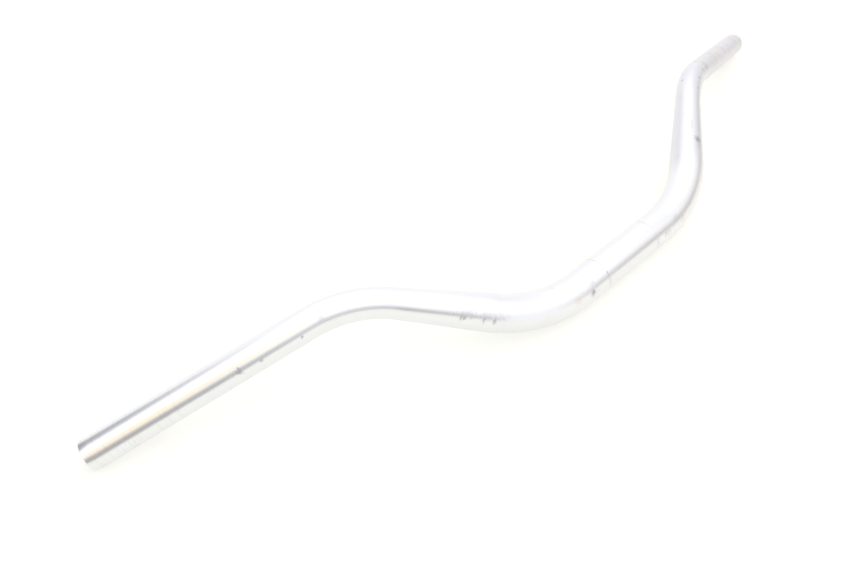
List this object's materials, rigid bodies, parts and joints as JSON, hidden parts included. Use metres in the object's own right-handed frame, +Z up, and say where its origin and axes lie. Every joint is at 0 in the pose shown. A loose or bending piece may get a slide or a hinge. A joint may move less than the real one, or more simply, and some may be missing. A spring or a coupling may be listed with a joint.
{
  "type": "motorcycle handlebar",
  "caption": "Tapered aluminium motorcycle handlebar, raised and swept back, with a thick clamp seat and a damped, threaded weight inside each grip end.",
  "frame": {"origin": "centre of the clamp seat, on the tube's axis", "axes": "+X along the clamp seat to the rider's left grip, +Y from the clamp towards the grips, +Z up, with the bar lying as it rests on a bench: on the underside of the clamp seat and on both ends. Turned by about 63 degrees about +X its rises stand straight up and +Y points to the rider"},
  "size_m": [0.7768, 0.1479, 0.0619],
  "materials": {
    "satin_aluminium": "satin, shot-peened and clear anodised, with clamp and grip marks",
    "plated_steel": "turned and zinc plated",
    "black_rubber": "matte moulded rubber",
    "spring_steel": "dull spring steel"
  },
  "bodies": {
    "root": {"handlebar_tube": "satin_aluminium", "left_inner_weight": "plated_steel", "right_inner_weight": "plated_steel", "left_outer_cushion": "black_rubber", "left_inner_cushion": "black_rubber", "right_outer_cushion": "black_rubber", "right_inner_cushion": "black_rubber", "left_weight_retainer": "spring_steel", "right_weight_retainer": "spring_steel"}
  },
  "joints": []
}
